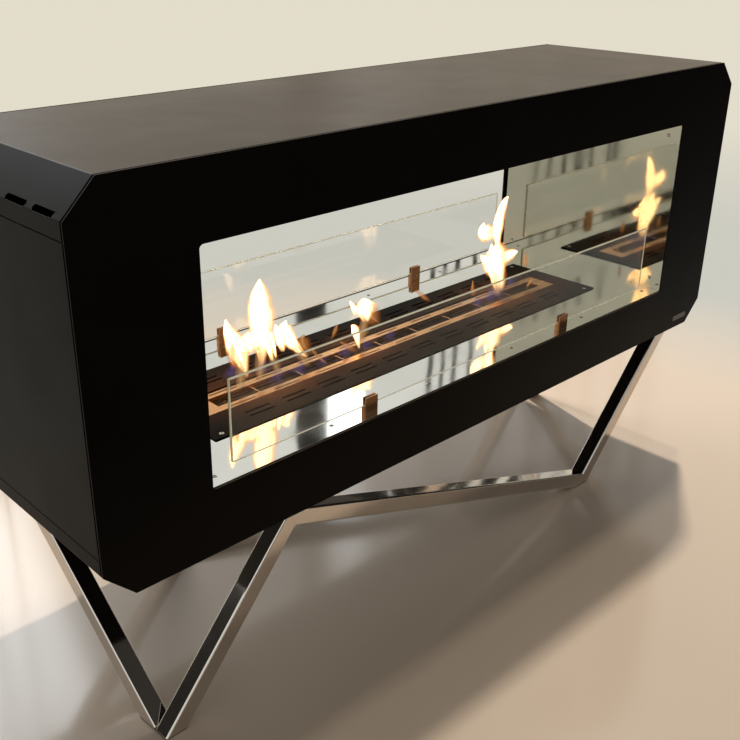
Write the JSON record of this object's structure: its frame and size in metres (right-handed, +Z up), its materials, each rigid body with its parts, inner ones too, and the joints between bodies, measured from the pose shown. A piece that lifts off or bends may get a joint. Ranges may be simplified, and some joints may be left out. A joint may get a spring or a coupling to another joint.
{
  "type": "bioethanol fireplace",
  "caption": "Free-standing see-through bioethanol fireplace: long black octagonal casing on a zigzag stand of polished tube, with a trough burner and low glass screens that lift out.",
  "frame": {"origin": "on the floor below the middle of the casing", "axes": "+X along the casing's length, -Y out of the front, +Z up"},
  "size_m": [1.4, 0.4, 0.794],
  "materials": {
    "black_powder_coat": "matt, fine texture",
    "polished_steel": "mirror polished stainless sheet",
    "polished_tube": "mirror polished stainless tube",
    "burner_steel": "satin stainless sheet",
    "fastener_steel": "plain stainless",
    "clear_glass": "clear, polished edges",
    "ceramic_wool": "fibrous, sooted",
    "pad_rubber": "matt"
  },
  "bodies": {
    "fireplace": {"blank_plate": "fastener_steel", "bottom_cover": "black_powder_coat", "burner_cover_plate": "black_powder_coat", "burner_housing": "burner_steel", "cover_plate_screws": "fastener_steel", "firebox_ceiling": "polished_steel", "firebox_floor": "polished_steel", "firebox_left_wall": "polished_steel", "firebox_right_wall": "polished_steel", "foot_pads": "pad_rubber", "front_clip_blocks": "polished_steel", "front_clip_inner_plates": "polished_steel", "front_clip_outer_plates": "polished_steel", "front_fascia": "black_powder_coat", "front_fascia_spacers": "black_powder_coat", "front_frame": "black_powder_coat", "front_left_leg": "polished_tube", "front_long_brace": "polished_tube", "front_right_leg": "polished_tube", "left_cross_leg": "polished_tube", "left_side_panel": "black_powder_coat", "rear_clip_blocks": "polished_steel", "rear_clip_inner_plates": "polished_steel", "rear_clip_outer_plates": "polished_steel", "rear_fascia": "black_powder_coat", "rear_fascia_spacers": "black_powder_coat", "rear_frame": "black_powder_coat", "rear_left_leg": "polished_tube", "rear_long_brace": "polished_tube", "rear_right_leg": "polished_tube", "right_cross_leg": "polished_tube", "right_side_panel": "black_powder_coat", "seat_bolts": "fastener_steel", "seat_nuts": "fastener_steel", "seat_plates": "polished_tube", "top_cover": "black_powder_coat"},
    "front_pane": {"front_glass": "clear_glass"},
    "rear_pane": {"rear_glass": "clear_glass"},
    "burner": {"burner_deck": "burner_steel", "fuel_tank": "burner_steel", "ceramic_wool": "ceramic_wool", "cross_ties": "burner_steel"}
  },
  "joints": [
    {"name": "front_glass_lift", "type": "slide", "parent": "fireplace", "child": "front_pane", "axis": [0, 0, 1], "range_m": [0, 0.12]},
    {"name": "rear_glass_lift", "type": "slide", "parent": "fireplace", "child": "rear_pane", "axis": [0, 0, 1], "range_m": [0, 0.12]},
    {"name": "burner_lift", "type": "slide", "parent": "fireplace", "child": "burner", "axis": [0, 0, 1], "range_m": [0, 0.12]}
  ]
}
